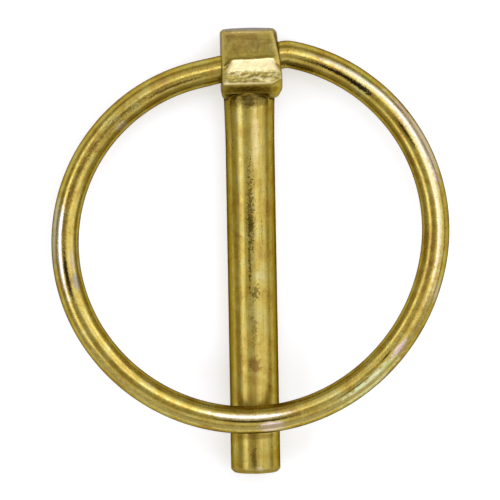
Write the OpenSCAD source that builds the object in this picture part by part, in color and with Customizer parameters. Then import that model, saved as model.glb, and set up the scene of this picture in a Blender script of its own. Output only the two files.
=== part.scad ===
// Lynch pin (linch pin): a forged pin with a spring-wire snap ring.
// The pin is one piece: a round shank and a forged block of a head with a
// sloping nose on its front. The ring is a loop of spring wire whose two ends
// sit in blind holes in the sides of the head. The holes are staggered along
// the pin, so the ring hangs on a slanting line through both of them.
//
// Frame: the origin is on the flat back of the head, right behind the point
// where the hinge line crosses the pin's axis. +Y runs along the pin to the
// head's end, +Z is the nose side and +X is to the right when the nose is seen
// from the front. The ring is drawn closed, lying across the shank.
//
// Inside the modules, heights along the pin are measured from the underside
// of the head, with the pin's axis at X = 0 and Z = 0.

/* [Shank] */
// Diameter of the straight part of the shank
shank_d = 6.35; // [5.5:0.05:8]
// Extra radius of the neck that forging leaves below the head
neck_swell = 0.10; // [0.02:0.01:0.3]
// Length over which the neck swells
neck_l = 5.4; // [3:0.1:10]
// Extra radius of the small flare where the neck meets the head
flare = 0.05; // [0.02:0.01:0.2]
// Length of that flare
flare_l = 0.8; // [0.3:0.1:2]
// Extra radius of the cropped tip
tip_swell = 0.03; // [0.01:0.01:0.1]
// Length of the shank past the middle of the ring's wire
tip_past = 7.3; // [4:0.1:14]
// Chamfer round the tip
tip_chamfer = 0.4; // [0.1:0.05:1]

/* [Head] */
// Length of the head along the pin
head_l = 8.97; // [8:0.01:12]
// How far the left side of the head stands out past the shank
left_proud = 0.50; // [0.3:0.05:1.5]
// How far the right side stands out past the shank, at the head's end
right_proud = 0.47; // [0.3:0.05:1.5]
// How much further the right side stands out beside the nose
right_flare = 0.68; // [0.2:0.02:1]
// How far the front flat stands out past the shank
front_proud = 0.18; // [0.05:0.01:1]
// How far the flat back stands out past the shank
back_proud = 0.25; // [0.15:0.05:1]
// Forging draft: how far the left side leans in from the middle to the front
draft_left = 0.20; // [0.1:0.05:0.6]
// Forging draft: how far the right side leans in, at the head's end
draft_right = 0.45; // [0.2:0.05:0.8]
// Forging draft: how far both sides lean in from the middle to the back
draft_back = 0.45; // [0.1:0.05:0.8]
// Upright band along the middle of the right side, to the front and the back
land = 0.6; // [0.2:0.1:1]
// Radius of the crowned end
crown_r = 80; // [30:5:200]
// How far right of the axis the crown is highest
crown_off = 0.5; // [0:0.1:1.5]
// How much lower the end is at the back than at the front
end_fall = 0.28; // [0.1:0.02:0.6]
// How much is worn off the end's left corner, seen from the front
left_corner = 0.25; // [0.1:0.05:0.8]
// How much is worn off the end's right corner
right_corner = 0.50; // [0.1:0.05:0.8]
// Rounding of the edges round the front flat
front_round = 0.22; // [0.1:0.02:0.4]
// Rounding of the long edge between the left side and the back
back_round = 1.60; // [0.3:0.05:2]
// Width of the bevel between the right side and the back
back_bevel = 0.60; // [0.2:0.05:1]
// Height of the tapered skirt between the head's sides and the shank
skirt = 0.85; // [0.4:0.05:1.2]

/* [Nose] */
// How far the nose stands out past the front flat, at its ridge
nose_rise = 1.10; // [0.5:0.05:2]
// Height of the left end of the nose's upper edge above the head's underside
nose_top = 5.20; // [4.2:0.05:5.6]
// How much higher the right end of that edge is
nose_slant = 0.20; // [0.05:0.05:0.4]
// Height of the ridge above the underside of the head
ridge_y = 2.00; // [1.7:0.05:2.6]
// Height at which the nose runs back into the front flat
root_y = 0.95; // [0.9:0.05:1.3]
// Height at which the front flat runs into the neck
front_foot = 0.80; // [0.4:0.05:0.85]
// Distance of the upper edge's left corner from the shank's axis
top_left = 1.95; // [1:0.05:2.5]
// Distance of the upper edge's right corner from the shank's axis
top_right = 3.05; // [2:0.05:3.2]
// Height at which the left cheek reaches the head's full width
left_cheek = 3.30; // [2.8:0.05:3.8]
// Height at which the right cheek reaches the head's full width
right_cheek = 3.50; // [2.8:0.05:3.8]
// Width of the slope on each cheek
cheek_slope = 0.30; // [0.1:0.05:0.6]
// Distance of the nose's worn lower right corner from the shank's axis
worn_x = 2.95; // [2:0.05:3.2]
// How far that corner runs up the right side
worn_y = 0.75; // [0.2:0.05:1]

/* [Ring] */
// Diameter of the spring wire
wire_d = 3.57; // [2.5:0.01:4]
// Radius of the short bend outside the right hole
bend_r = 2.6; // [2.1:0.1:4]
// Angle of that bend
bend_a = 24; // [18:0.5:28]
// Radius of the ring round the upper right, a quarter turn
right_r = 23.05; // [18:0.05:27]
// Radius of the ring round the lower right, an eighth of a turn
low_r = 25.25; // [18:0.05:28]
// Radius of the ring across the shank and round the lower left, a quarter turn
foot_r = 23.80; // [21:0.05:28]
// How much thinner in radius the wire is drawn at its straight ends
end_under = 0.02; // [0.02:0.01:0.1]
// Chamfer on the two cut ends of the wire
end_chamfer = 0.3; // [0.1:0.05:0.6]

/* [Hinge] */
// Height of the hinge line above the underside of the head, on the axis
hinge_y = 4.45; // [3.9:0.01:5]
// Slant of the hinge line, which staggers the two holes
hinge_a = 12.3; // [8:0.1:14]
// Radial clearance of the wire in its holes
hole_clear = 0.08; // [0.03:0.01:0.1]
// Solid web left between the two blind holes
hole_web = 1.4; // [0.8:0.1:2.4]
// Gap between each wire end and the floor of its hole
end_gap = 0.3; // [0.1:0.05:0.8]
// Distance from the head's right side to the start of the bend
bend_stand = 0.34; // [0.3:0.02:1.5]
// Gap between the closed ring and the shank
rest_gap = 0.05; // [0.02:0.01:0.3]

/* [Hidden] */

ROUND = 96;
FAR = 40;

// ---- head, worked out from the shank ----
shank_r = shank_d / 2;
left_x = shank_r + left_proud;
right_x = shank_r + right_proud;
ridge_x = right_x + right_flare;
front_z = shank_r + front_proud;
back_z = shank_r + back_proud;
ridge_z = front_z + nose_rise;
neck_r = shank_r + neck_swell;
flare_r = neck_r + flare;
flare_y = nose_top - (nose_top - ridge_y) * 0.72;

// height of the crowned end, seen from the front
function crown_at(x) = head_l - (x - crown_off) * (x - crown_off) / (2 * crown_r);
corner_y = crown_at(right_x);
// how far the crowned end is cut below the flat one
crown_cut = 0.03;
// slope of the right side, and where the hinge line comes out of it
right_k = right_flare / (corner_y - flare_y);
mouth_x = (right_x + right_k * (corner_y - hinge_y)) / (1 + right_k * tan(hinge_a));
mouth_p = mouth_x / cos(hinge_a);

// ---- ring, as a chain of tangent arcs in its own plane ----
// The plane's first axis is the hinge line, to the right; its second points
// from the hinge to the tip. A heading of 0 runs along the hinge line and
// grows as the wire turns towards the tip.
wire_r = wire_d / 2;
end_r = wire_r - end_under;
hole_r = end_r + hole_clear;

function arc_end(at, heading, r, a) =
    at + r * [sin(heading + a) - sin(heading), cos(heading) - cos(heading + a)];

bend_at = [mouth_p + bend_stand, 0];
right_at = arc_end(bend_at, 0, bend_r, bend_a);
low_at = arc_end(right_at, bend_a, right_r, 90);
foot_at = arc_end(low_at, bend_a + 90, low_r, 45);
foot_h = bend_a + 135;
close_at = arc_end(foot_at, foot_h, foot_r, 90);
// the last arc leaves the third one and runs tangent into the hinge line
close_h = foot_h + 90;
close_a = 360 - close_h;
close_r = round(-close_at[1] / sin(close_h) / tan(close_a / 2) * 100) / 100;
close_end = arc_end(close_at, close_h, close_r, close_a);

// where the foot of the ring crosses the pin, and how far the ring leans
// forward to lie on top of the shank there
foot_centre = foot_at + foot_r * [-sin(foot_h), cos(foot_h)];
function reach(lean) =
    let (k = tan(hinge_a) * cos(lean),
         b = foot_centre[0] * k - foot_centre[1],
         c = foot_centre * foot_centre - foot_r * foot_r)
    (-b + sqrt(b * b - (1 + k * k) * c)) / (1 + k * k);
seat = shank_r + tip_swell + rest_gap + wire_r;
first_lean = asin(seat / reach(6));
lean = asin(seat / reach(first_lean));
cross_y = hinge_y - reach(lean) * cos(lean) / cos(hinge_a);
shank_l = tip_past - cross_y;

// the transition from the straight shank to the tip hides below the wire
tip_from = cross_y + wire_r * 1.1;
tip_to = cross_y - wire_r * 0.9;

module shank() {
    rotate([90, 0, 0])
        rotate_extrude($fn = ROUND)
            polygon([
                [0, -skirt],
                [flare_r, -skirt],
                [flare_r, 0],
                [neck_r, flare_l],
                [shank_r, neck_l],
                [shank_r, -tip_from],
                [shank_r + tip_swell, -tip_to],
                [shank_r + tip_swell, shank_l - tip_chamfer],
                [shank_r + tip_swell - tip_chamfer, shank_l],
                [0, shank_l],
            ]);
}

// An outline with its corners rounded: each point is [x, y, radius]
function rounded(points) = [
    for (i = [0:len(points) - 1])
        each corner(points[(i + len(points) - 1) % len(points)], points[i],
                    points[(i + 1) % len(points)])
];

function unit(v) = v / norm(v);

function corner(a, b, c, steps = 4) =
    let (at = [b[0], b[1]],
         u = unit([a[0], a[1]] - at),
         v = unit([c[0], c[1]] - at),
         half = acos(u * v) / 2,
         mid = at + unit(u + v) * b[2] / sin(half),
         p = at + u * b[2] / tan(half) - mid,
         q = at + v * b[2] / tan(half) - mid,
         turn = 180 - 2 * half,
         way = p[0] * q[1] - p[1] * q[0] < 0 ? -1 : 1)
    b[2] == 0 ? [at] : [
        for (i = [0:steps])
            let (t = way * turn * i / steps)
            mid + [p[0] * cos(t) - p[1] * sin(t), p[0] * sin(t) + p[1] * cos(t)]
    ];

// Everything beyond the plane through a, b and c, on the side from which the
// three points run anticlockwise
module beyond(a, b, c) {
    n = cross(b - a, c - a);
    translate(a)
        rotate([0, acos(n[2] / norm(n)), atan2(n[1], n[0])])
            translate([-FAR / 2, -FAR / 2, 0])
                cube(FAR);
}

// The head's outline from the front: crowned end, flared right side and a
// skirt that tapers into the shank
module head_front() {
    above = head_l + 2;
    linear_extrude(FAR, center = true)
        polygon(rounded([
            [-flare_r, 0, 0],
            [-left_x, skirt, 0.5],
            [-left_x, above, 0],
            [right_x - right_k * (above - corner_y), above, 0],
            [ridge_x, flare_y, 0.8],
            [ridge_x, skirt * 1.4, 0.5],
            [flare_r + right_flare * 0.6, skirt * 0.2, 0.25],
            [flare_r, 0, 0],
        ]));
}

// The end: crowned across, leaning to the back, with both corners worn off
module head_end() {
    lean = atan(end_fall / (front_z + back_z));
    from = -left_x + left_corner;
    to = right_x - right_corner * 0.6;
    past = 2;
    translate([0, head_l, front_z])
        rotate([-lean, 0, 0])
            translate([0, -head_l, 0])
                linear_extrude(FAR, center = true)
                    polygon(rounded(concat(
                        [[from - past, -past, 0],
                         [from - past, crown_at(from) - past, 0],
                         [from, crown_at(from), left_corner]],
                        [for (i = [1:7]) let(x = from + (to - from) * i / 8) [x, crown_at(x), 0]],
                        [[to, crown_at(to), right_corner],
                         [to + past, crown_at(to) - past, 0],
                         [to + past, -past, 0]]
                    )));
}

// The head's profile from the side: the end falls away to both edges, and the
// front flat runs down a slope into the neck
module head_side() {
    rotate([90, 0, 90])
        linear_extrude(FAR, center = true)
            polygon(rounded([
                [0, -flare_r, 0],
                [skirt, -back_z, 0.4],
                [head_l - end_fall + crown_cut, -back_z, front_round],
                [head_l + crown_cut, front_z, front_round],
                [front_foot, front_z, 0],
                [front_foot * 0.15, flare_r * 0.5, 0],
                [0, 0, 0],
            ]));
}

// The head's left flank: a section drafted from the parting line, with a
// rounded long edge at the back
module left_flank() {
    tall = ridge_z + 1;
    rotate([90, 0, 0])
        linear_extrude(FAR, center = true)
            polygon(rounded([
                [-left_x, 0, 0],
                [-left_x + draft_back, -back_z, back_round],
                [FAR, -back_z, 0],
                [FAR, tall, 0],
                [-left_x + draft_left * tall / front_z, tall, 0],
            ]));
}

// What is cut away along the left edge of the front flat
module left_bevel() {
    in = -left_x + draft_left;
    beyond([in - 0.1, 0, front_z - front_round * 0.7],
           [in + front_round * 0.7, 0, front_z],
           [in + front_round * 0.7, 1, front_z]);
}

// What is cut away from the flared right side: the draft to the front and to
// the back, and the bevel along the back
module right_draft() {
    side = [right_x, corner_y, 0];
    along = [ridge_x - right_x, flare_y - corner_y, 0];
    in_back = [right_x - draft_back, corner_y, -back_z];
    bevel = [back_bevel * 0.3, 0, -back_bevel];
    beyond(side + [0, 0, land],
           [right_x - draft_right, corner_y, front_z],
           [ridge_x, ridge_y + 0.9, ridge_z]);
    beyond(side - [0, 0, land], side - [0, 0, land] + along, in_back);
    beyond(in_back - bevel, in_back - bevel + along, in_back - [back_bevel, 0, 0]);
}

// The nose: a wedge that rises from the front flat to a ridge and drops back
module nose() {
    top_l = [-top_left, nose_top, front_z];
    top_r = [top_right, nose_top + nose_slant, front_z];
    slope = nose_rise / (nose_top + nose_slant * 0.4 - ridge_y);
    left_z = front_z + slope * (nose_top - left_cheek);
    right_z = front_z + slope * (nose_top + nose_slant - right_cheek);
    side_l = [-left_x + draft_left * left_z / front_z, left_cheek, left_z];
    side_r = [ridge_x - 0.15, right_cheek, right_z];
    foot_l = side_l + [-cheek_slope, cheek_slope * 0.7, front_z - left_z];
    foot_r = side_r + [cheek_slope, cheek_slope * 0.6, front_z - right_z];
    difference() {
        translate([-FAR / 2, 0, 0])
            cube([FAR, nose_top + nose_slant, ridge_z + 0.2]);
        // upper slope
        beyond(top_l, [0, ridge_y, ridge_z], top_r);
        // underside
        beyond([-1, ridge_y, ridge_z], [-1, root_y, front_z], [1, root_y, front_z]);
        // slanting cheeks
        beyond(top_l, foot_l, side_l);
        beyond(top_r, side_r, foot_r);
    }
}

// The whole head
module head() {
    intersection() {
        head_front();
        head_end();
        left_flank();
        difference() {
            union() {
                difference() {
                    head_side();
                    left_bevel();
                }
                nose();
            }
            right_draft();
            // worn lower right corner of the nose
            beyond([worn_x, ridge_y, ridge_z],
                   [worn_x, root_y, front_z],
                   [ridge_x, ridge_y + worn_y, ridge_z - worn_y * 0.35]);
        }
    }
}

// One blind hole, from the web outwards along the hinge line
module hole(side) {
    translate([0, hinge_y, 0])
        rotate([0, 0, hinge_a])
            rotate([0, side * 90, 0])
                translate([0, 0, hole_web / 2])
                    cylinder(r = hole_r, h = ridge_x * 2, $fn = ROUND);
}

module pin() {
    color([0.66, 0.56, 0.25])
        translate([0, -hinge_y, back_z])
            difference() {
                union() {
                    shank();
                    head();
                }
                hole(1);
                hole(-1);
            }
}

// Part of a turn of wire round Z, from +X towards +Y
module turn(r, a) {
    rotate_extrude(angle = a, $fn = ROUND * 2)
        translate([r, 0])
            circle(r = wire_r, $fn = ROUND / 2);
}

// An arc of the wire that sets off along +X and turns towards -Y, followed by
// whatever carries on from its end
module sweep(r, a) {
    translate([0, -r, 0]) {
        rotate([180, 0, 90])
            turn(r, a);
        rotate([0, 0, -a])
            translate([0, r, 0])
                children();
    }
}

// A straight end of the wire, from its chamfered end in the hole outwards. It
// reaches a little way into the curve that follows.
module wire_end(side, reach) {
    from = hole_web / 2 + end_gap;
    rotate([0, side * 90, 0])
        translate([0, 0, from]) {
            cylinder(r1 = end_r - end_chamfer, r2 = end_r, h = end_chamfer, $fn = ROUND);
            translate([0, 0, end_chamfer])
                cylinder(r = end_r, h = reach - from - end_chamfer, $fn = ROUND);
        }
}

module ring() {
    color([0.70, 0.60, 0.27])
        translate([0, 0, back_z])
            rotate([0, 0, hinge_a])
                rotate([-lean, 0, 0])
                    union() {
                        translate([bend_at[0], -bend_r, 0])
                            rotate([0, 0, -bend_a]) {
                                rotate([0, 0, 90])
                                    turn(bend_r, bend_a);
                                translate([0, bend_r, 0])
                                    sweep(right_r, 90)
                                        sweep(low_r, 45)
                                            sweep(foot_r, 90)
                                                sweep(close_r, close_a);
                            }
                        wire_end(1, bend_at[0] + 0.1);
                        wire_end(-1, 0.4 - close_end[0]);
                    }
}

pin();
ring();
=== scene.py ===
# %% [markdown]
# # A lynch pin
#
# A lynch pin locks a shaft in its place on a trailer or a tractor. It is a
# forged steel pin with a spring-wire ring through its head. The pin goes
# through a cross hole, and the ring swings over the end of the shaft and snaps
# down on the pin's shank. Both pieces are plated with zinc and then dipped in
# yellow chromate.
#
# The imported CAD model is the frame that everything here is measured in. It
# brings two solids, the pin and the ring, each on its own body, so the ring can
# swing. All lengths are in metres.

# %% The frame
import math

import bmesh
import bpy
import numpy as np
from mathutils import Matrix, Vector, noise


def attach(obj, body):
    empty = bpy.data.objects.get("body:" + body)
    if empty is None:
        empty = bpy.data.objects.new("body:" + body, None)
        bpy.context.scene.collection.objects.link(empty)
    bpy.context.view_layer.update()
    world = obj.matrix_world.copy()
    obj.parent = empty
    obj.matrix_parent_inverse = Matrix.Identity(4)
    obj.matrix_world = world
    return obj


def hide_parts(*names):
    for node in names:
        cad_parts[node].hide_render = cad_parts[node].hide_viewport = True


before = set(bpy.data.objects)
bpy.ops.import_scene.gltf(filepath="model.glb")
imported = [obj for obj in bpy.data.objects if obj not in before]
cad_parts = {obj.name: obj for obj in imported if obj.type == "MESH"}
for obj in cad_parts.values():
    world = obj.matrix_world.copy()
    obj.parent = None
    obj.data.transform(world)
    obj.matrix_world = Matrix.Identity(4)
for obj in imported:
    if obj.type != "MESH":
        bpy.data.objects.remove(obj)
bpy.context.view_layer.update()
MM = 0.001
scene = bpy.context.scene

# %% [markdown]
# ## The camera
#
# The pin lies on its back and is seen from above, from a long way off, so that
# near and far parts keep the same scale. The camera stands a little towards the
# head's end, which is why a thin strip of the head's end face shows. A camera
# looks along its own -Z axis, so its matrix is built from three directions:
# right, up and back. The lens follows from the distance and from how many
# pixels a millimetre should take.

# %% The camera
TILT = math.radians(6.0)
ROLL = math.radians(1.03)
DISTANCE, CLIP_END = 2.5, 20.0
SENSOR_WIDTH = 36.0
PICTURE_WIDTH, PIXELS_PER_MM = 500, 7.734
AIM = Vector((-0.245, -24.118, 5.492)) * MM


def into_scene(name, data):
    """A new object that shows the data, linked to the scene."""
    obj = bpy.data.objects.new(name, data)
    scene.collection.objects.link(obj)
    return obj


back = Vector((0, math.sin(TILT), math.cos(TILT)))
level_up = Vector((0, math.cos(TILT), -math.sin(TILT)))
level_right = Vector((1, 0, 0))
right = level_right * math.cos(ROLL) - level_up * math.sin(ROLL)
up = level_right * math.sin(ROLL) + level_up * math.cos(ROLL)

camera_data = bpy.data.cameras.new("camera")
camera_data.sensor_width = SENSOR_WIDTH
camera_data.lens = SENSOR_WIDTH * DISTANCE / (PICTURE_WIDTH / PIXELS_PER_MM * MM)
camera_data.clip_end = CLIP_END
camera = into_scene("camera", camera_data)
camera.matrix_world = (Matrix.Translation(AIM + back * DISTANCE)
                       @ Matrix((right, up, back)).transposed().to_4x4())
scene.camera = camera
scene.view_settings.view_transform = "Standard"
print("lens", round(camera_data.lens, 1), "mm at", DISTANCE, "m")

# %% [markdown]
# ## The pin's shape
#
# The pin is forged hot between two dies and then tumbled before it is plated,
# so no edge on the head is sharp and no face is quite flat. The CAD solid has
# the true faces but sharp edges. It could be bevelled, but a bevel makes every
# edge the same. Here a copy of the solid is rebuilt as an even net of small
# faces with a voxel remesh, and smoothed until the edges are as soft as
# forging leaves them.

# %% A copy of the pin as an even net
WELD = 0.001 * MM
VOXEL = 0.135 * MM


def plain_mesh(obj, name):
    """What the object looks like after its modifiers, as a mesh of its own."""
    graph = bpy.context.evaluated_depsgraph_get()
    mesh = bpy.data.meshes.new_from_object(obj.evaluated_get(graph))
    mesh.name = name
    return mesh


merged = bmesh.new()
merged.from_mesh(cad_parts["pin"].data)
bmesh.ops.remove_doubles(merged, verts=merged.verts, dist=WELD)
draft_mesh = bpy.data.meshes.new("pin_draft")
merged.to_mesh(draft_mesh)
merged.free()
draft = into_scene("pin_draft", draft_mesh)
remesh = draft.modifiers.new("even_net", "REMESH")
remesh.mode = "VOXEL"
remesh.voxel_size = VOXEL
pin_mesh = plain_mesh(draft, "forged_pin")
bpy.data.objects.remove(draft)
count = len(pin_mesh.vertices)
print("even net:", count, "points,", len(pin_mesh.polygons), "faces")

# %% [markdown]
# ## Where a point lies on the pin
#
# The next steps treat the head, the shank and the two holes differently, so
# each point has to be sorted. Its height is counted from the head's underside,
# up towards the head's end. The shank swells a little under the head and again
# towards the tip, so its true radius is read from a short table. The two holes
# lie on one slanting line, the ring's hinge, and a point is in a hole when it
# is close to that line.

# %% Heights, radii and holes
HINGE_HEIGHT = 4.45 * MM
AXIS_Z = 3.425 * MM
HINGE_SLANT = math.radians(12.3)
HOLE_ZONE_R, HOLE_REACH = 1.92 * MM, 4.6 * MM
# height and radius, in mm
SHANK_PROFILE = [(-48.34, 3.205), (-43.05, 3.205), (-39.48, 3.175),
                 (-5.4, 3.175), (-0.8, 3.275), (0.0, 3.325)]

points = np.empty(count * 3)
pin_mesh.vertices.foreach_get("co", points)
points = points.reshape(-1, 3)
hinge = np.array([math.cos(HINGE_SLANT), math.sin(HINGE_SLANT), 0.0])


def from_hinge(values):
    """How far along the hinge line each point lies, and its offset from it."""
    offset = values - np.array([0.0, 0.0, AXIS_Z])
    reach = offset @ hinge
    return reach, offset - reach[:, None] * hinge


height = points[:, 1] + HINGE_HEIGHT
radius = np.hypot(points[:, 0], points[:, 2] - AXIS_Z)
profile_height, profile_radius = np.array(SHANK_PROFILE).T * MM
true_radius = np.interp(height, profile_height, profile_radius)
reach, offset = from_hinge(points)
in_hole = ((np.linalg.norm(offset, axis=1) < HOLE_ZONE_R)
           & (np.abs(reach) < HOLE_REACH) & (height > 0))
print("points on the head:", int((height > 0).sum()), "and in its holes:", int(in_hole.sum()))

# %% [markdown]
# ## Soft edges on the head, a true shank and true holes
#
# Smoothing moves each point some way towards the mean of its neighbours. The
# head goes half of the way each time, the shank and the holes only a little.
# A voxel remesh leaves faint steps on round surfaces all the same, and bright
# metal would show them. So each point of the shank is then moved on to its
# true radius. The points of the holes are moved on to a circle a hair wider
# than the solid's, which keeps them clear of the wire's ends.

# %% Smoothing
SHANK_SHARE, HEAD_EXTRA, HOLE_FACTOR = 0.08, 0.42, 0.2
HEAD_FADE = 0.6 * MM
PASSES = 5

edges = np.empty(len(pin_mesh.edges) * 2, dtype=np.int64)
pin_mesh.edges.foreach_get("vertices", edges)
edges = edges.reshape(-1, 2)
neighbours = np.bincount(edges.ravel(), minlength=count)[:, None]


def neighbour_mean(values):
    """The mean of each point's neighbours."""
    total = np.zeros_like(values)
    np.add.at(total, edges[:, 0], values[edges[:, 1]])
    np.add.at(total, edges[:, 1], values[edges[:, 0]])
    return total / neighbours


def smooth(values, share, passes):
    """Each pass moves the points by a share of the way to their neighbours' mean."""
    for _ in range(passes):
        values = values + share * (neighbour_mean(values) - values)
    return values


on_head = np.clip((height + HEAD_FADE) / HEAD_FADE, 0, 1)
share = (SHANK_SHARE + HEAD_EXTRA * on_head) * np.where(in_hole, HOLE_FACTOR, 1.0)
before = points
points = smooth(points, share[:, None], PASSES)
furthest = np.linalg.norm(points - before, axis=1).max()
print("smoothing moved no point by more than", round(float(furthest) / MM, 3), "mm")

# %% True shank and holes
SHANK_TOP, SHANK_END = -0.15 * MM, -48.3 * MM
SOLID_HOLE_R, HOLE_R = 1.845 * MM, 1.87 * MM
# only points this near to the round surface are moved
NEAR = 0.08 * MM
NOT_ZERO = 1e-9

on_shank = ((height < SHANK_TOP) & (height > SHANK_END)
            & (np.abs(radius - true_radius) < NEAR))
spoke = np.stack([points[:, 0], points[:, 2] - AXIS_Z], axis=1)
spoke *= (true_radius / np.maximum(np.linalg.norm(spoke, axis=1), NOT_ZERO))[:, None]
points[on_shank, 0] = spoke[on_shank, 0]
points[on_shank, 2] = spoke[on_shank, 1] + AXIS_Z

reach, offset = from_hinge(points)
distance = np.linalg.norm(offset, axis=1)
wall = in_hole & (np.abs(distance - SOLID_HOLE_R) < NEAR)
points[wall] += (offset * (HOLE_R / np.maximum(distance, NOT_ZERO) - 1)[:, None])[wall]
print("on the shank:", int(on_shank.sum()), "points; in the holes:", int(wall.sum()))

# %% [markdown]
# ## Marks of the hammer and the tumbler
#
# The head's faces bulge and dip by a few hundredths of a millimetre, and the
# lower half of the nose's slope is pitted where scale was pressed into it. A
# bump in the material can't show this on the outline or in the STL, so the
# points themselves are moved along their normals, by seeded noise. The shank
# is still the rolled bar that the pin was forged from, so it only gets faint
# hollows that run along it.
#
# The slope of the nose is found by the way its points face, and it ends left
# and right at two slanting edges.

# %% Where the slope and its pits are
# each pair is where a mask starts and where it is full
FACING_END, FACING_FRONT = (0.12, 0.22), (0.75, 0.88)
SLOPE_DEPTH, SLOPE_FOOT = (3.36 * MM, 3.42 * MM), (1.8 * MM, 2.0 * MM)
SLOPE_SIDE = (-0.10 * MM, 0.05 * MM)
PITS_BOTTOM, PITS_TOP = (2.1 * MM, 2.5 * MM), (3.5 * MM, 4.0 * MM)
HEAD_BOTTOM = (0.1 * MM, 0.6 * MM)
# each edge of the slope: how far out it is, at what height, and how fast it widens
LEFT_EDGE, RIGHT_EDGE = (1.95 * MM, 5.20 * MM, 0.78), (3.05 * MM, 5.40 * MM, 0.60)

normals = np.empty(count * 3)
pin_mesh.vertices.foreach_set("co", points.ravel())
pin_mesh.update()
pin_mesh.vertices.foreach_get("normal", normals)
normals = normals.reshape(-1, 3)


def between(values, low, high):
    """A smooth step from 0 below low to 1 above high."""
    t = np.clip((values - low) / (high - low), 0, 1)
    return t * t * (3 - 2 * t)


def inside(edge, side):
    """How far inside a slanting edge each point lies; left is -1, right is 1."""
    out, at_height, widening = edge
    return out + (at_height - height) * widening - side * points[:, 0]


height = points[:, 1] + HINGE_HEIGHT
front = points[:, 2] - AXIS_Z
slope = (between(normals[:, 1], *FACING_END) * between(normals[:, 2], *FACING_FRONT)
         * between(front, *SLOPE_DEPTH) * between(height, *SLOPE_FOOT))
slope *= (between(inside(LEFT_EDGE, -1), *SLOPE_SIDE)
          * between(inside(RIGHT_EDGE, 1), *SLOPE_SIDE))
pitted = slope * between(height, *PITS_BOTTOM) * (1 - between(height, *PITS_TOP))
head_only = between(height, *HEAD_BOTTOM) * np.where(in_hole, 0.0, 1.0)
print("points on the slope:", int((slope > 0.5).sum()),
      "and in its pitted band:", int((pitted > 0.5).sum()))

# %% Dents and pits
# depth, lump size and seed
HEAD_DENTS = [(0.020 * MM, 1.5 * MM, 1), (0.008 * MM, 0.5 * MM, 2)]
SHANK_HOLLOW = (0.006 * MM, 1.0 * MM, 3)
SHANK_SQUEEZE, PIT_SQUEEZE = np.array([1.0, 0.25, 1.0]), np.array([0.6, 1.2, 1.2])
PIT_DEPTH, PIT_SIZE, PIT_FINE_SIZE, PIT_FINE_SHARE = 0.045 * MM, 0.50 * MM, 0.25 * MM, 0.4
PIT_WALL = (-0.45, 0.15)
SEED_SHIFT = 17.3


def noise_at(values, size, seed):
    """Smooth noise between -1 and 1, with lumps of about the given size."""
    shifted = values / size + seed * SEED_SHIFT
    return np.array([noise.noise(Vector(p)) for p in shifted])


lift = np.zeros(count)
for depth, size, seed in HEAD_DENTS:
    lift += depth * noise_at(points, size, seed) * head_only
# the noise less one is never above zero, so the shank never grows past its radius
depth, size, seed = SHANK_HOLLOW
lift += depth * (noise_at(points * SHANK_SQUEEZE, size, seed) - 1) * (1 - head_only)
squeezed = points * PIT_SQUEEZE
pit_noise = noise_at(squeezed, PIT_SIZE, 4) + PIT_FINE_SHARE * noise_at(squeezed, PIT_FINE_SIZE, 5)
pits = between(pit_noise, *PIT_WALL)
lift -= PIT_DEPTH * (pitted * pits)
points = points + normals * lift[:, None]
points[:, 2] = np.maximum(points[:, 2], 0.0)
pin_mesh.vertices.foreach_set("co", points.ravel())
print("moved by", round(float(lift.min()) / MM, 3), "to", round(float(lift.max()) / MM, 3), "mm")

# %% [markdown]
# ## What the finish has to know
#
# Plating wears thin and shines on edges, and hollows are made darker. How far a
# point stands out over its surroundings tells one from the other, so it is
# kept as the attribute "edge". The slope of the nose is painted paler, a
# painted highlight for the bright lamp that it mirrors, and its pits have a
# colour of their own, so their masks are kept as "nose" and "struck".

# %% The pin's attributes
STAND_OUT_PASSES, STAND_OUT = 12, 0.02 * MM
STRUCK_LEAST = 0.35


def keep_values(mesh, name, values):
    """Stores one number for each point of the mesh."""
    layer = mesh.attributes.new(name, "FLOAT", "POINT")
    layer.data.foreach_set("value", values.astype(np.float32))


def shade_smooth(mesh):
    """No facets show on the mesh."""
    mesh.polygons.foreach_set("use_smooth", np.ones(len(mesh.polygons), dtype=bool))


stand_out = ((points - smooth(points, 0.5, STAND_OUT_PASSES)) * normals).sum(axis=1) / STAND_OUT
keep_values(pin_mesh, "nose", slope)
keep_values(pin_mesh, "struck", pitted * (STRUCK_LEAST + (1 - STRUCK_LEAST) * pits))
keep_values(pin_mesh, "edge", np.clip(stand_out, -1, 1))
shade_smooth(pin_mesh)
pin_mesh.update()
pin = into_scene("forged_pin", pin_mesh)
print("edge attribute, before it is clipped: from", round(float(stand_out.min()), 2),
      "to", round(float(stand_out.max()), 2))

# %% [markdown]
# ## The ring's route
#
# The ring is one length of spring wire. It comes straight out of the right
# hole, takes a short bend, runs round in four arcs that flow into each other,
# and goes straight into the left hole. In its own plane each arc starts where
# the last one ended, in the direction in which it ended, so a radius and an
# angle are enough to say where it goes. The plane is turned by the slant of
# the holes, and leans forward so that the foot of the ring lies on the shank.
# Both ends of the wire are chamfered, and a little thinner where they turn in
# the holes.

# %% Points along the route
WIRE_R, END_R = 1.785 * MM, 1.765 * MM
RIGHT_END, LEFT_END = 1.0 * MM, -1.0 * MM
CHAMFER = 0.3 * MM
RIGHT_STEP, RIGHT_STEPS = 0.33 * MM, 8
LEFT_STEPS, LEFT_WIDE_STEPS = 16, 4
BEND_START = 4.48586 * MM
# radius in mm and angle in degrees: the short bend, then the four arcs
ARCS = [(2.6, 24), (23.05, 90), (25.25, 45), (23.80, 90), (22.28, 111)]
ARC_STEP, LEAST_STEPS = 0.30 * MM, 8

route = []


def lay(p, q, r=WIRE_R):
    """Adds a point, p to the right along the hinge and q towards the ring's foot,
    where the wire has the radius r."""
    route.append((p, q, r))


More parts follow.
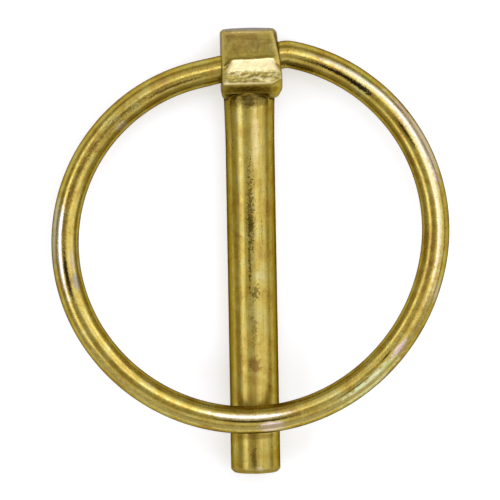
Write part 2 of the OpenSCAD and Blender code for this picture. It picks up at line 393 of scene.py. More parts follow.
lay(RIGHT_END, 0, END_R - CHAMFER)
for k in range(RIGHT_STEPS + 1):
    lay(RIGHT_END + CHAMFER + k * RIGHT_STEP, 0, END_R)
p, q, heading = BEND_START, 0.0, 0.0
for arc_radius, sweep in ARCS:
    r, turn = arc_radius * MM, math.radians(sweep)
    steps = max(LEAST_STEPS, round(r * turn / ARC_STEP))
    for k in range(steps):
        a = heading + turn * k / steps
        lay(p + r * (math.sin(a) - math.sin(heading)), q + r * (math.cos(heading) - math.cos(a)))
    p += r * (math.sin(heading + turn) - math.sin(heading))
    q += r * (math.cos(heading) - math.cos(heading + turn))
    heading += turn
lay(p, 0)
for k in range(1, LEFT_STEPS + 1):
    lay(p + (LEFT_END - CHAMFER - p) * k / LEFT_STEPS, 0,
        WIRE_R if k <= LEFT_WIDE_STEPS else END_R)
lay(LEFT_END, 0, END_R - CHAMFER)
print("route:", len(route), "points; it comes back to the hinge line within",
      round(abs(q) / MM, 4), "mm")

# %% The route as a curve
LEAN = math.radians(6.41339)

plane = (Matrix.Translation((0, 0, AXIS_Z)) @ Matrix.Rotation(HINGE_SLANT, 4, "Z")
         @ Matrix.Rotation(-LEAN, 4, "X"))
route_curve = bpy.data.curves.new("ring_route", "CURVE")
route_curve.dimensions = "3D"
route_curve.twist_mode = "Z_UP"
spline = route_curve.splines.new("POLY")
spline.points.add(len(route) - 1)
for point, (p, q, r) in zip(spline.points, route):
    point.co = (*(plane @ Vector((p, -q, 0))), 1.0)
    point.radius = r / WIRE_R
route_object = into_scene("ring_route", route_curve)
places = [point.co.xyz for point in spline.points]
length = sum((b - a).length for a, b in zip(places, places[1:]))
print("wire:", round(length / MM, 1), "mm long")

# %% [markdown]
# ## The ring as Geometry Nodes
#
# A tube that follows a path is what Geometry Nodes are good at: a circle is
# carried along the route, and the thickness, the number of sides and the
# faint ripple that rolling leaves on the wire are inputs that can be changed
# afterwards. Two attributes travel with the points: how far along the wire a
# point is, and where it sits in the wire's round section. The finish uses them
# for streaks that follow the wire round the bends.
#
# Helpers come first. `add` places a node, sets its properties and its inputs,
# and links an input when it is given a socket in place of a value. `number`
# does one step of arithmetic.

# %% Helpers for node trees
def add(tree, kind, inputs=None, **properties):
    """A new node, with its properties set and its inputs set or linked."""
    node = tree.nodes.new(kind)
    for name, value in properties.items():
        setattr(node, name, value)
    for name, value in (inputs or {}).items():
        if isinstance(value, bpy.types.NodeSocket):
            tree.links.new(value, node.inputs[name])
        else:
            node.inputs[name].default_value = value
    return node


def number(tree, operation, *values, clamp=False):
    """What a Math node makes of two or three numbers or sockets."""
    return add(tree, "ShaderNodeMath", dict(enumerate(values)),
               operation=operation, use_clamp=clamp).outputs[0]


def new_tree(name, kind, inputs, outputs):
    """A node group with named sockets, and the sockets of its two end nodes."""
    tree = bpy.data.node_groups.new(name, kind)
    for label, socket_kind, value in inputs:
        socket = tree.interface.new_socket(label, in_out="INPUT", socket_type=socket_kind)
        if value is not None:
            socket.default_value = value
    for label, socket_kind in outputs:
        tree.interface.new_socket(label, in_out="OUTPUT", socket_type=socket_kind)
    return (tree, tree.nodes.new("NodeGroupInput").outputs,
            tree.nodes.new("NodeGroupOutput").inputs)


print("helpers for node trees, for Blender", bpy.app.version_string)

# %% The wire tree: a tube with two attributes
wire_tree, given, result = new_tree(
    "wire_along_route", "GeometryNodeTree",
    [("Route", "NodeSocketGeometry", None),
     ("Wire radius", "NodeSocketFloat", WIRE_R),
     ("Sides", "NodeSocketInt", 72),
     ("Ripple", "NodeSocketFloat", 0.012 * MM),
     ("Ripple length", "NodeSocketFloat", 3.0 * MM),
     ("Finish", "NodeSocketMaterial", None)],
    [("Wire", "NodeSocketGeometry")])
along = add(wire_tree, "GeometryNodeSplineParameter")
marked = add(wire_tree, "GeometryNodeStoreNamedAttribute",
             {"Geometry": given["Route"], "Name": "along", "Value": along.outputs["Length"]},
             data_type="FLOAT", domain="POINT")
circle = add(wire_tree, "GeometryNodeCurvePrimitiveCircle",
             {"Resolution": given["Sides"], "Radius": given["Wire radius"]}, mode="RADIUS")
place = add(wire_tree, "GeometryNodeInputPosition")
section = add(wire_tree, "GeometryNodeStoreNamedAttribute",
              {"Geometry": circle.outputs["Curve"], "Name": "around",
               "Value": place.outputs["Position"]},
              data_type="FLOAT_VECTOR", domain="POINT")
thickness = add(wire_tree, "GeometryNodeInputRadius")
tube = add(wire_tree, "GeometryNodeCurveToMesh",
           {"Curve": marked.outputs["Geometry"], "Profile Curve": section.outputs["Geometry"],
            "Scale": thickness.outputs["Radius"], "Fill Caps": True})
print("tube:", len(wire_tree.nodes), "nodes so far")

# %% The wire tree: ripple and finish
# above nearly all of the noise, so the ripple goes inward
RIPPLE_CEILING = 0.9

per_ripple = number(wire_tree, "DIVIDE", 1.0, given["Ripple length"])
ripple = add(wire_tree, "ShaderNodeTexNoise", {"Scale": per_ripple, "Detail": 2.0},
             noise_dimensions="3D")
lowered = number(wire_tree, "SUBTRACT", ripple.outputs["Fac"], RIPPLE_CEILING)
depth = number(wire_tree, "MULTIPLY", lowered, given["Ripple"])
outwards = add(wire_tree, "GeometryNodeInputNormal")
push = add(wire_tree, "ShaderNodeVectorMath",
           {0: outwards.outputs["Normal"], "Scale": depth}, operation="SCALE")
rippled = add(wire_tree, "GeometryNodeSetPosition",
              {"Geometry": tube.outputs["Mesh"], "Offset": push.outputs["Vector"]})
whole = add(wire_tree, "GeometryNodeRealizeInstances", {"Geometry": rippled.outputs["Geometry"]})
dressed = add(wire_tree, "GeometryNodeSetMaterial",
              {"Geometry": whole.outputs["Geometry"], "Material": given["Finish"]})
wire_tree.links.new(dressed.outputs["Geometry"], result["Wire"])
print("wire tree:", len(wire_tree.nodes), "nodes")

# %% [markdown]
# ## The finish: yellow chromate on zinc
#
# Chromate is a film thinner than a wavelength of light over bright zinc. Its
# colour depends on how thick it came out: thin film is pale and bluish, then
# it turns yellow, then brown and mauve where it is thickest. So the finish is
# one noise that stands for thickness, read through a colour ramp in that
# order. Both pieces share it, so it is a node group. The groups after it make
# the marks of use and the painted light and shade: a ragged patch at a chosen
# place, fine speckle, and edges rubbed thin with darker hollows.

# %% Group: the chromate film
# film thickness and its colour
FILM_COLOURS = [(0.16, (0.46, 0.44, 0.20)), (0.34, (0.46, 0.375, 0.085)),
                (0.48, (0.44, 0.33, 0.052)), (0.60, (0.39, 0.27, 0.038)),
                (0.72, (0.34, 0.21, 0.045)), (0.84, (0.34, 0.22, 0.13))]


def grain_noise(tree, vector, size, **settings):
    """Noise between 0 and 1 with lumps of a size, which is a number or a socket."""
    if isinstance(size, bpy.types.NodeSocket):
        scale = number(tree, "DIVIDE", 1.0, size)
    else:
        scale = 1 / size
    return add(tree, "ShaderNodeTexNoise", {"Vector": vector, "Scale": scale, **settings},
               noise_dimensions="3D").outputs["Fac"]


film_tree, given, result = new_tree(
    "chromate_film", "ShaderNodeTree",
    [("Vector", "NodeSocketVector", None),
     ("Cloud size", "NodeSocketFloat", 2.6 * MM),
     ("Thickness", "NodeSocketFloat", 0.0),
     ("Contrast", "NodeSocketFloat", 1.0)],
    [("Color", "NodeSocketColor"), ("Film", "NodeSocketFloat")])
clouds = grain_noise(film_tree, given["Vector"], given["Cloud size"],
                     Detail=5.0, Roughness=0.62, Distortion=0.4)
centred = number(film_tree, "SUBTRACT", clouds, 0.5)
spread = number(film_tree, "MULTIPLY_ADD", centred, given["Contrast"], given["Thickness"])
film = number(film_tree, "ADD", spread, 0.5)
ramp = add(film_tree, "ShaderNodeValToRGB", {"Fac": film})
stops = ramp.color_ramp.elements
while len(stops) < len(FILM_COLOURS):
    stops.new(0.5)
for stop, (position, colour) in zip(stops, FILM_COLOURS):
    stop.position = position
    stop.color = (*colour, 1)
film_tree.links.new(ramp.outputs["Color"], result["Color"])
film_tree.links.new(film, result["Film"])
print("film colours:", len(FILM_COLOURS))

# %% Group: a ragged patch
# the mask is 0 beyond the first distance and 1 within the second, in half sizes
PATCH_RIM, PATCH_CORE = 1.15, 0.55


def fade(tree, value, start, full, interpolation="SMOOTHSTEP", **ends):
    """0 where the value is at the start, 1 where it is full, and a fade between.
    Other ends than 0 and 1 are given as "To Min" and "To Max"."""
    return add(tree, "ShaderNodeMapRange",
               {"Value": value, "From Min": start, "From Max": full, **ends},
               interpolation_type=interpolation).outputs["Result"]


patch_tree, given, result = new_tree(
    "ragged_patch", "ShaderNodeTree",
    [("Vector", "NodeSocketVector", None),
     ("Centre", "NodeSocketVector", (0, 0, 0)),
     ("Half size", "NodeSocketVector", (MM, MM, MM)),
     ("Ragged", "NodeSocketFloat", 0.5),
     ("Grain size", "NodeSocketFloat", 0.5 * MM)],
    [("Mask", "NodeSocketFloat")])
shifted = add(patch_tree, "ShaderNodeVectorMath", {0: given["Vector"], 1: given["Centre"]},
              operation="SUBTRACT").outputs["Vector"]
scaled = add(patch_tree, "ShaderNodeVectorMath", {0: shifted, 1: given["Half size"]},
             operation="DIVIDE").outputs["Vector"]
far = add(patch_tree, "ShaderNodeVectorMath", {0: scaled}, operation="LENGTH").outputs["Value"]
grains = grain_noise(patch_tree, given["Vector"], given["Grain size"], Detail=3.0, Roughness=0.6)
centred = number(patch_tree, "SUBTRACT", grains, 0.5)
torn = number(patch_tree, "MULTIPLY_ADD", centred, given["Ragged"], far)
patch_tree.links.new(fade(patch_tree, torn, PATCH_RIM, PATCH_CORE), result["Mask"])
print("patch group:", len(patch_tree.nodes), "nodes")

# %% Group: fine speckle
SPECKLE_BASE, SPECKLE_FADE = 0.75, 0.12

speckle_tree, given, result = new_tree(
    "fine_speckle", "ShaderNodeTree",
    [("Vector", "NodeSocketVector", None),
     ("Grain size", "NodeSocketFloat", 0.3 * MM),
     ("Amount", "NodeSocketFloat", 0.5)],
    [("Mask", "NodeSocketFloat")])
grains = grain_noise(speckle_tree, given["Vector"], given["Grain size"], Detail=2.0)
level = number(speckle_tree, "SUBTRACT", SPECKLE_BASE, given["Amount"])
top = number(speckle_tree, "ADD", level, SPECKLE_FADE)
speckle_tree.links.new(fade(speckle_tree, grains, level, top), result["Mask"])
print("speckle group:", len(speckle_tree.nodes), "nodes")

# %% Group: rubbed edges and darker hollows
UNEVEN_SIZE, UNEVEN_SHARE = 0.7 * MM, 0.7
RUB_FADE = 0.45
# points that lie in hollows are made darker
HOLLOW_START, HOLLOW_FULL = -0.15, -0.75

rub_tree, given, result = new_tree(
    "rubbed_edges", "ShaderNodeTree",
    [("Vector", "NodeSocketVector", None),
     ("Edge", "NodeSocketFloat", 0.0),
     ("Start", "NodeSocketFloat", 0.25)],
    [("Rubbed", "NodeSocketFloat"), ("Hollows", "NodeSocketFloat")])
uneven = grain_noise(rub_tree, given["Vector"], UNEVEN_SIZE, Detail=3.0)
centred = number(rub_tree, "SUBTRACT", uneven, 0.5)
lifted = number(rub_tree, "MULTIPLY_ADD", centred, UNEVEN_SHARE, given["Edge"])
full = number(rub_tree, "ADD", given["Start"], RUB_FADE)
rub_tree.links.new(fade(rub_tree, lifted, given["Start"], full), result["Rubbed"])
rub_tree.links.new(fade(rub_tree, lifted, HOLLOW_START, HOLLOW_FULL), result["Hollows"])
print("groups:", [g.name for g in bpy.data.node_groups])

# %% [markdown]
# ## Putting the finish together
#
# One function builds the finish for either piece. It starts from the film's
# colour, lays the stains, scuffs, painted light and painted shade over it one
# after another, and darkens or brightens it with speckle, worn edges and a
# painted highlight on the nose's slope. The zinc under the film is a metal, so
# its colour tints what it mirrors. The film itself is clear and smoother than
# the zinc: that is the coat, and it adds the whitish glints. A dark patch,
# dirt and painted shade alike, has no such glint, so it takes the coat away.

# %% Colours over colours
COAT = 0.12
DARK_BELOW = 0.7
# a Mix node has sockets for each kind of data, and only numbers tell them apart
MIX_BELOW, MIX_OVER, MIX_RESULT = 6, 7, 2


def group(tree, name, inputs):
    """The outputs of a node group that is placed in a material."""
    return add(tree, "ShaderNodeGroup", inputs, node_tree=bpy.data.node_groups[name]).outputs


def tint(tree, mask, below, colour, strength=1.0, blend="MIX"):
    """The colour below, mixed or multiplied with another where the mask is high."""
    if strength != 1.0:
        mask = number(tree, "MULTIPLY", mask, strength)
    return add(tree, "ShaderNodeMix",
               {"Factor": mask, MIX_BELOW: below, MIX_OVER: (*colour, 1)},
               data_type="RGBA", blend_type=blend).outputs[MIX_RESULT]


def lay_patches(tree, place, patches, colour):
    """The colour with all patches over it, and what is left of the coat. A patch is
    (centre, half size, colour, strength, grain size, raggedness), lengths in mm."""
    coat = COAT
    for centre, half, patch_colour, strength, grain, ragged in patches:
        mask = group(tree, "ragged_patch",
                     {"Vector": place, "Centre": [v * MM for v in centre],
                      "Half size": [v * MM for v in half], "Ragged": ragged,
                      "Grain size": grain * MM})["Mask"]
        colour = tint(tree, mask, colour, patch_colour, strength)
        if sum(patch_colour) < DARK_BELOW:
            clean = number(tree, "SUBTRACT", 1.0, mask)
            coat = number(tree, "MULTIPLY", clean, coat)
    return colour, coat


print("coat on clean film:", COAT)

# %% Wear on the pin, and a painted highlight on its nose
# the nose's slope is painted paler: a painted highlight for the bright lamp that it mirrors
NOSE_HIGHLIGHT_TINT, STRUCK_TINT = (0.57, 0.49, 0.205), (0.19, 0.145, 0.016)
RUBBED_TINT, HOLLOW_TINT = (0.42, 0.33, 0.09), (0.45, 0.36, 0.2)


def object_place(tree):
    """Where a point lies in the object's own space."""
    return add(tree, "ShaderNodeTexCoord").outputs["Object"]


def attribute(tree, name, output="Fac"):
    """What is stored in the mesh under the name."""
    return add(tree, "ShaderNodeAttribute", attribute_name=name).outputs[output]


def wear_and_highlight_colour(tree, place, edge, colour):
    """A painted highlight on the nose's slope and the colour of its pits, then rubbed edges and
    darker hollows.
    """
    colour = tint(tree, attribute(tree, "nose"), colour, NOSE_HIGHLIGHT_TINT, 0.88)
    colour = tint(tree, attribute(tree, "struck"), colour, STRUCK_TINT, 0.95)
    wear = group(tree, "rubbed_edges", {"Vector": place, "Edge": edge})
    colour = tint(tree, wear["Rubbed"], colour, RUBBED_TINT, 0.3)
    return tint(tree, wear["Hollows"], colour, HOLLOW_TINT, 0.4, "MULTIPLY")


print("the pin's own values:", [a.name for a in pin_mesh.attributes if a.data_type == "FLOAT"])

# %% The finish
STREAK_START, STREAK_FULL, STREAK_TINT = 0.50, 0.72, (0.62, 0.56, 0.45)
SPECKLE_SIZE, SPECKLE_AMOUNT, SPECKLE_TINT = 0.20 * MM, 0.17, (0.55, 0.48, 0.35)
MOTTLE_SIZE, PEEL_SIZE = 0.8 * MM, 0.45 * MM
SMOOTHEST, ROUGHEST, EDGE_ROUGHER = 0.20, 0.32, 0.25
STREAK_RELIEF, BUMP_HEIGHT = 0.8, 0.03 * MM
SIDE_TINT = (0.11, 0.10, 0.04, 1)


def zinc_finish(name, streak, patch_place, patches, contrast, relief, worn=False):
    """The finish of one piece. `streak` gives the vector that its streaks follow,
    and `patch_place` the one that its patches are placed by."""
    material = bpy.data.materials.new(name)
    material.use_nodes = True
    tree = material.node_tree
    shader = tree.nodes["Principled BSDF"]
    place = object_place(tree)

    film = group(tree, "chromate_film", {"Vector": place, "Contrast": contrast})
    colour, coat = lay_patches(tree, patch_place(tree), patches, film["Color"])
    drawn = grain_noise(tree, streak(tree), 1.0, Detail=3.0)
    streaks = fade(tree, drawn, STREAK_START, STREAK_FULL, "LINEAR")
    colour = tint(tree, streaks, colour, STREAK_TINT, 0.6, "MULTIPLY")
    fine = group(tree, "fine_speckle",
                 {"Vector": place, "Grain size": SPECKLE_SIZE, "Amount": SPECKLE_AMOUNT})
    colour = tint(tree, fine["Mask"], colour, SPECKLE_TINT, 0.7, "MULTIPLY")

    mottle = grain_noise(tree, place, MOTTLE_SIZE, Detail=4.0)
    rough = fade(tree, mottle, 0.3, 0.7, "LINEAR", **{"To Min": SMOOTHEST, "To Max": ROUGHEST})
    if worn:
        edge = attribute(tree, "edge")
        colour = wear_and_highlight_colour(tree, place, edge, colour)
        rough = number(tree, "MULTIPLY_ADD", edge, EDGE_ROUGHER, rough, clamp=True)

    peel = grain_noise(tree, place, PEEL_SIZE, Detail=3.0)
    bump = add(tree, "ShaderNodeBump",
               {"Strength": relief, "Distance": BUMP_HEIGHT,
                "Height": number(tree, "MULTIPLY_ADD", drawn, STREAK_RELIEF, peel)})
    for output, socket in ((colour, "Base Color"), (rough, "Roughness"),
                           (coat, "Coat Weight"), (bump.outputs["Normal"], "Normal")):
        tree.links.new(output, shader.inputs[socket])
    # what is the same all over stays on the shader's own sockets
    for socket, value in (("Metallic", 1.0), ("Specular Tint", SIDE_TINT),
                          ("Coat IOR", 1.5), ("Coat Roughness", 0.07)):
        shader.inputs[socket].default_value = value
    print(name, "has", len(tree.nodes), "nodes")
    return material


# %% [markdown]
# ## Streaks that follow the metal
#
# The bar was rolled along its length, the head was forged across it, and the
# wire was drawn, so all three show fine streaks in those directions. A streak
# is noise whose space is squeezed more one way than the other. On the pin that
# is done in the object's own space. The wire bends, so there the vector is
# made of its two attributes, and the streaks go round the bends with it.

# %% Vectors for streaks and patches
# lump sizes in mm: across, along the pin, and from back to front
SHANK_STREAK, HEAD_STREAK = (0.32, 7, 0.32), (3.5, 0.22, 0.6)
# lump sizes in mm: along the wire, and the two ways across it
WIRE_STREAK = (6.0, 0.6, 0.6)
MIX_FIRST, MIX_SECOND, MIX_VECTOR = 4, 5, 1


def pin_streak(tree):
    """Streaks run along the shank, and across on the head."""
    place = object_place(tree)
    up_pin = add(tree, "ShaderNodeSeparateXYZ", {"Vector": place}).outputs["Y"]
    on_head = number(tree, "GREATER_THAN", up_pin, -HINGE_HEIGHT)
    squeeze = add(tree, "ShaderNodeMix",
                  {0: on_head, MIX_FIRST: [1 / (v * MM) for v in SHANK_STREAK],
                   MIX_SECOND: [1 / (v * MM) for v in HEAD_STREAK]}, data_type="VECTOR")
    return add(tree, "ShaderNodeVectorMath", {0: place, 1: squeeze.outputs[MIX_VECTOR]},
               operation="MULTIPLY").outputs["Vector"]


def wire_axes(tree):
    """The distance along the wire, and the two axes of its round section."""
    section = add(tree, "ShaderNodeSeparateXYZ",
                  {"Vector": attribute(tree, "around", "Vector")}).outputs
    return attribute(tree, "along"), section["X"], section["Y"]


def wire_streak(tree):
    """Long lumps along the wire, short ones across it."""
    axes = [number(tree, "MULTIPLY", axis, 1 / (size * MM))
            for axis, size in zip(wire_axes(tree), WIRE_STREAK)]
    return add(tree, "ShaderNodeCombineXYZ", dict(enumerate(axes))).outputs["Vector"]


def wire_place(tree):
    """The distance along the wire and the place in its section, as one vector."""
    return add(tree, "ShaderNodeCombineXYZ", dict(enumerate(wire_axes(tree)))).outputs["Vector"]


print("streak lengths in mm: shank", max(SHANK_STREAK), "head", max(HEAD_STREAK),
      "wire", max(WIRE_STREAK))

# %% [markdown]
# ## Stains, scuffs and specks
#
# No two plated pins look alike. The bath leaves pale, pink and green patches
# where the film is thin or thick, and a row of black specks runs down the
# shank. Image textures could hold all this, but they need a map of the
# surface. Here each mark is one ragged patch with its own place, size and
# colour. The wire's patches are placed by how far along the wire and how far
# outward from its middle they lie, so they bend with it.
#
# Other patches are painted light and shade. Painted shade darkens the shank
# where the ring crosses it, the neck, the underside of the nose and the
# wire's bend by the right hole. Some patches are broad and faint, such as those
# along the shank's flanks and on the outer side of the ring. They stand in
# for the dark or bright things that a real room mirrors in the metal, as
# painted reflections, and pale bands along the ring's bright lines are painted
# highlights.

# %% Colours of the marks
SPECK, BLACK = (0.085, 0.055, 0.006), (0.03, 0.02, 0.01)
BROWN, OLIVE, GRIME = (0.20, 0.10, 0.02), (0.13, 0.10, 0.018), (0.16, 0.11, 0.02)
PALE, PINK = (0.56, 0.53, 0.32), (0.54, 0.43, 0.27)
# the first is painted shade where the wire meets the head, the second a darker tint for the flanks
WIRE_ROOT_SHADE, FLANK = (0.10, 0.06, 0.015), (0.28, 0.20, 0.04)
WIRE_PATCH_DEPTH = 1.2


def on_wire(along, outward, half_length, half_width, colour, strength, grain, ragged=2.2):
    """A patch on the wire's upper side, so far along it and so far outward."""
    radius = WIRE_R / MM
    depth = math.sqrt(max(radius ** 2 - outward ** 2, 0.0))
    return ((along, -outward, -depth), (half_length, half_width, WIRE_PATCH_DEPTH),
            colour, strength, grain, ragged)


print("the middle of the wire's upper side, 60 mm along:", on_wire(60, 0, 1, 1, PALE, 1, 1)[0])

# %% The pin's marks
PIN_PATCHES = [
    # black specks down the middle of the shank
    ((-0.08, -18.6, 6.6), (0.34, 4.6, 2.0), SPECK, 0.85, 0.24, 7.0),
    ((-0.05, -20.9, 6.6), (0.42, 1.3, 2.0), SPECK, 0.95, 0.20, 7.0),
    ((-0.30, -25.5, 6.6), (0.16, 3.4, 2.0), SPECK, 0.85, 0.26, 6.0),
    ((1.35, -21.9, 6.6), (0.07, 1.3, 2.0), SPECK, 0.80, 0.16, 7.0),
    ((0.30, -29.6, 6.6), (0.55, 0.9, 2.0), SPECK, 0.80, 0.26, 6.0),
    ((0.10, -34.0, 6.6), (0.30, 1.8, 2.0), SPECK, 0.60, 0.26, 6.0),
    # a brown stain, and painted shade on the shank where the ring crosses it
    ((0.07, -39.0, 6.6), (0.90, 1.2, 2.0), BROWN, 0.80, 0.40, 2.2),
    ((0.10, -48.3, 6.6), (3.00, 0.45, 2.2), (0.22, 0.15, 0.02), 0.75, 0.40, 1.2),
    # the tip: a darker tint, a dark streak and a pale spot
    ((0.00, -51.2, 5.0), (3.60, 2.6, 3.2), (0.26, 0.19, 0.035), 0.35, 0.60, 1.2),
    ((-0.20, -51.2, 6.6), (0.34, 1.7, 2.0), (0.15, 0.10, 0.015), 0.80, 0.28, 3.5),
    ((0.55, -52.6, 6.6), (0.40, 0.35, 2.0), PALE, 0.60, 0.25, 2.2),
    # painted shade round the neck under the head, and a paler stripe below it
    ((0.00, -4.8, 6.6), (3.40, 0.8, 3.2), (0.17, 0.12, 0.020), 0.75, 0.50, 1.6),
    ((0.00, -4.1, 6.0), (3.60, 0.6, 4.0), (0.11, 0.075, 0.012), 0.88, 0.30, 1.0),
    ((0.04, -4.7, 6.6), (0.90, 0.75, 2.0), (0.09, 0.06, 0.008), 0.90, 0.30, 2.2),
    ((0.66, -9.6, 6.6), (0.60, 4.0, 2.0), (0.70, 0.58, 0.24), 0.38, 0.90, 1.0),
    # a darker tint along both flanks
    ((-2.95, -29.0, 4.6), (0.55, 25.0, 1.6), FLANK, 0.60, 0.60, 1.0),
    ((2.95, -29.0, 4.6), (0.55, 25.0, 1.6), FLANK, 0.60, 0.60, 1.0),
    # painted shade under the nose
    ((2.60, -3.3, 7.0), (1.50, 0.7, 2.0), (0.26, 0.18, 0.03), 0.75, 0.50, 1.6),
    ((0.00, -3.2, 7.0), (4.40, 0.75, 1.5), (0.24, 0.16, 0.02), 0.75, 0.50, 1.6),
    # the front and the end of the head
    ((-2.60, 4.0, 6.6), (0.60, 0.6, 2.0), (0.38, 0.20, 0.05), 0.60, 0.50, 2.2),
    ((3.00, 2.3, 6.6), (0.50, 0.7, 2.0), (0.50, 0.42, 0.16), 0.40, 0.40, 2.2),
    ((-0.30, 3.1, 6.6), (3.70, 1.5, 1.5), (0.36, 0.24, 0.07), 0.45, 0.80, 1.5),
    ((0.00, 4.5, 6.0), (4.50, 0.3, 4.5), (0.60, 0.46, 0.22), 0.55, 0.40, 2.6),
]
print("marks on the pin:", len(PIN_PATCHES))

# %% The ring's marks
RING_PATCHES = [
    # upper right: a pale painted highlight, with black marks
    on_wire(16.0, 0.80, 9.0, 0.40, PALE, 0.70, 0.90, 1.2),
    on_wire(11.6, -0.12, 4.9, 0.24, BLACK, 0.97, 0.24, 2.4),
    on_wire(14.6, -0.16, 2.2, 0.36, BLACK, 0.95, 0.26, 2.6),
    on_wire(14.6, 1.20, 0.9, 0.35, (0.36, 0.40, 0.06), 0.70, 0.30),
    on_wire(23.3, 0.00, 2.5, 0.20, BLACK, 0.85, 0.20),
    on_wire(24.5, 1.20, 7.5, 0.75, (0.56, 0.46, 0.31), 0.80, 0.60, 1.4),
    # painted shade in the bend outside the right hole, next to the head
    on_wire(6.2, -1.20, 2.2, 0.50, WIRE_ROOT_SHADE, 0.70, 0.20, 3.0),
    on_wire(3.6, -1.00, 1.2, 0.50, WIRE_ROOT_SHADE, 0.60, 0.20, 3.0),
    # the right side, with a pale painted highlight along it, and the lower right
    on_wire(33.0, 0.48, 13.0, 0.34, (0.74, 0.66, 0.34), 0.60, 0.60, 1.2),
    on_wire(44.0, 1.38, 1.6, 0.50, PINK, 0.65, 0.40),
    on_wire(52.6, 0.60, 1.8, 0.55, (0.66, 0.50, 0.40), 0.75, 0.30),
    on_wire(54.4, -0.20, 1.0, 0.14, BLACK, 0.75, 0.15),
    on_wire(58.0, 0.95, 5.4, 0.95, (0.70, 0.72, 0.34), 0.90, 0.60, 1.6),
    on_wire(55.2, 0.90, 0.9, 0.55, (0.46, 0.54, 0.10), 0.90, 0.30),
    on_wire(60.0, 0.10, 3.4, 0.11, OLIVE, 0.95, 0.20, 1.2),
    # the foot, over the shank: a painted highlight, a painted dark reflection below it and a
    # painted bright reflection along its outer side
    on_wire(74.9, -0.52, 6.4, 0.40, (0.72, 0.66, 0.38), 0.90, 0.90, 1.0),
    on_wire(73.6, 0.04, 6.0, 0.15, (0.06, 0.045, 0.01), 0.95, 0.40, 0.8),
    on_wire(72.0, 0.98, 33.0, 0.34, (0.92, 0.76, 0.28), 0.75, 0.60, 0.8),
    on_wire(71.8, 0.90, 1.9, 0.75, (0.88, 0.72, 0.54), 0.95, 0.50, 0.7),
    on_wire(79.9, 1.27, 1.0, 0.25, (0.40, 0.20, 0.05), 0.70, 0.30),
    # the left side: a pale painted highlight, with black marks
    on_wire(110.5, 0.72, 6.5, 0.36, (0.68, 0.62, 0.48), 0.90, 0.90, 1.0),
    on_wire(107.2, 0.12, 3.3, 0.24, BLACK, 0.95, 0.22, 2.2),
    on_wire(106.0, -0.85, 1.4, 0.50, (0.27, 0.25, 0.16), 0.85, 0.30, 1.4),
    on_wire(108.9, -0.90, 1.7, 0.45, (0.42, 0.33, 0.17), 0.65, 0.30),
    on_wire(112.5, 1.45, 4.5, 0.50, (0.42, 0.44, 0.34), 0.60, 0.40),
    # the upper left
    on_wire(128.9, -0.98, 1.1, 0.55, PINK, 0.60, 0.30, 1.6),
    on_wire(129.0, -0.10, 6.0, 0.40, GRIME, 0.55, 0.26, 6.0),
    on_wire(119.5, 0.15, 4.5, 0.35, GRIME, 0.45, 0.26, 6.0),
    on_wire(137.8, -0.25, 4.6, 0.16, (0.09, 0.055, 0.012), 0.85, 0.20),
]
print("marks on the ring:", len(RING_PATCHES))

# %% [markdown]
# ## Dressing both pieces
#
# The pin is a mesh already, so it only takes its finish. The ring is still a
# route with a node tree to come. The finish is one of the tree's inputs, and a
# modifier's input is set by its socket's identifier, because two sockets may
# share a name. What the tree makes is then kept as a plain mesh, and the route
# goes, with its modifier.

# %% The two finishes
pin_finish = zinc_finish("yellow_zinc_pin", pin_streak, object_place, PIN_PATCHES,
                         contrast=1.0, relief=0.3, worn=True)
ring_finish = zinc_finish("yellow_zinc_ring", wire_streak, wire_place, RING_PATCHES,
                          contrast=1.3, relief=0.18)
pin_mesh.materials.clear()
pin_mesh.materials.append(pin_finish)

# %% The ring's mesh
modifier = route_object.modifiers.new("wire", "NODES")
modifier.node_group = wire_tree
socket_of = {item.name: item.identifier for item in wire_tree.interface.items_tree
             if item.in_out == "INPUT"}
modifier[socket_of["Finish"]] = ring_finish
ring_mesh = plain_mesh(route_object, "wire_ring")
bpy.data.objects.remove(route_object)
shade_smooth(ring_mesh)
ring = into_scene("wire_ring", ring_mesh)
print("ring:", len(ring_mesh.polygons), "faces, attributes", [a.name for a in ring_mesh.attributes])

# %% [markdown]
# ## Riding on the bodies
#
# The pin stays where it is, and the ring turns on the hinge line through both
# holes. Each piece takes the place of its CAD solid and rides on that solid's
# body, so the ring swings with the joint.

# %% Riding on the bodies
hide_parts("pin")
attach(pin, "pin")
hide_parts("ring")
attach(ring, "ring")
print("riding:", pin.name, "and", ring.name)

# %% [markdown]
# ## The studio
#
# Plated metal shows what stands around it, so each lamp is placed by where its
# reflection should fall. A face that leans some degrees away from the camera
# mirrors what stands twice as many degrees off. The left strip draws the bright
# line on the left of every bar, the main window and its two cores the broad one
# on the right, and the head strip lights the slope of the nose. Only a weak
# lamp stands near the camera, so the middle of each round bar stays darker than
# its sides. The lamps are cool and the room is warm, so what mirrors a lamp
# looks paler than what mirrors the room.
#
# Each lamp is an area light. Its power follows from the brightness that its
# face should have and from its size.

# %% The lamps
LAMP_COLOUR = (0.96, 1.0, 1.58)
LAMP_DISTANCE = 0.6
MIDDLE = Vector((0, -0.022, 0))
# name, degrees across and along, degrees wide and high, brightness, own distance
SOFT_BOXES = [
    ("main_window", 32, 15, 50, 58, 1.18),
    ("window_core", 42, 30, 14, 24, 1.5),
    ("low_core", 25, 0, 12, 28, 0.9),
    ("overhead_window", 4, -4, 16, 30, 0.2),
    ("head_window", -5, 27, 32, 22, 1.0),
    ("head_strip", 0, 25, 24, 6, 3.4, 0.55),
    ("end_window", -8, 49, 66, 26, 0.7),
    ("far_right_window", 63, 2, 18, 36, 1.25),
    ("left_strip", -45, 6, 20, 54, 2.35),
    ("tip_window", 0, -32, 80, 24, 0.8),
]


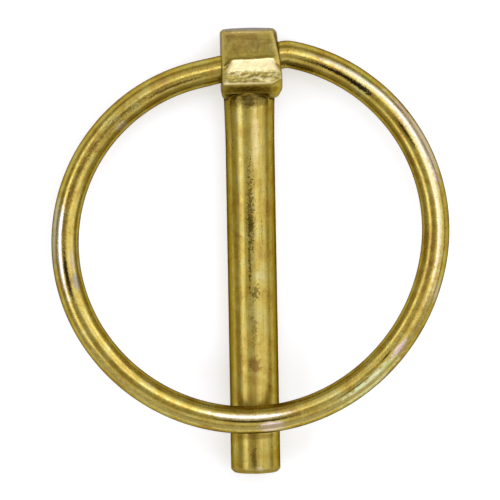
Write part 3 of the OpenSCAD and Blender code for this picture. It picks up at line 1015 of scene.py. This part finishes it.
def soft_box(name, across, along, width, height, brightness, distance=LAMP_DISTANCE):
    """An area light that faces the pin, turned `across` degrees to the right of
    straight up from the floor and `along` degrees towards the head's end."""
    a, e = math.radians(across), math.radians(along)
    direction = Vector((math.sin(a) * math.cos(e), math.sin(e), math.cos(a) * math.cos(e)))
    lamp = bpy.data.lights.new(name, "AREA")
    lamp.shape = "RECTANGLE"
    lamp.size = 2 * distance * math.tan(math.radians(width / 2))
    lamp.size_y = 2 * distance * math.tan(math.radians(height / 2))
    lamp.energy = brightness * math.pi * lamp.size * lamp.size_y
    lamp.color = LAMP_COLOUR
    obj = into_scene(name, lamp)
    side = Vector((0, 1, 0)).cross(direction).normalized()
    obj.matrix_world = (Matrix.Translation(MIDDLE + direction * distance)
                        @ Matrix((side, direction.cross(side), direction)).transposed().to_4x4())
    obj.visible_camera = False


for box in SOFT_BOXES:
    soft_box(*box)

# %% [markdown]
# ## The room and the floor
#
# The room is an even, warm light from all around. The floor is pale paper that
# takes the pin's shadow. To the camera, and to rays that come from metal or
# through glass, the paper also glows. That brings it to white without any more
# light on the pin.

# %% The room
ROOM_COLOUR, ROOM_STRENGTH = (1.0, 0.94, 0.68, 1), 0.42

world = bpy.data.worlds.new("studio")
world.use_nodes = True
background = world.node_tree.nodes["Background"].inputs
background["Color"].default_value = ROOM_COLOUR
background["Strength"].default_value = ROOM_STRENGTH
scene.world = world
print("room:", ROOM_COLOUR[:3], "at", ROOM_STRENGTH)

# %% The floor
FLOOR_SIZE = 4.0
PAPER_COLOUR, PAPER_GLOW = (0.66, 0.66, 0.545, 1), 0.46

h = FLOOR_SIZE / 2
floor_mesh = bpy.data.meshes.new("floor")
floor_mesh.from_pydata([(-h, -h, 0), (h, -h, 0), (h, h, 0), (-h, h, 0)], [], [(0, 1, 2, 3)])
floor = into_scene("floor", floor_mesh)
paper = bpy.data.materials.new("floor_paper")
paper.use_nodes = True
tree = paper.node_tree
shader = tree.nodes["Principled BSDF"]
shader.inputs["Base Color"].default_value = PAPER_COLOUR
shader.inputs["Roughness"].default_value = 0.9
shader.inputs["Specular IOR Level"].default_value = 0.1
ray = add(tree, "ShaderNodeLightPath").outputs
seen = number(tree, "ADD", ray["Is Camera Ray"], ray["Is Glossy Ray"])
seen = number(tree, "ADD", seen, ray["Is Transmission Ray"])
shader.inputs["Emission Color"].default_value = (1, 1, 1, 1)
tree.links.new(number(tree, "MULTIPLY", seen, PAPER_GLOW), shader.inputs["Emission Strength"])
floor_mesh.materials.append(paper)
print("floor:", FLOOR_SIZE, "m square")
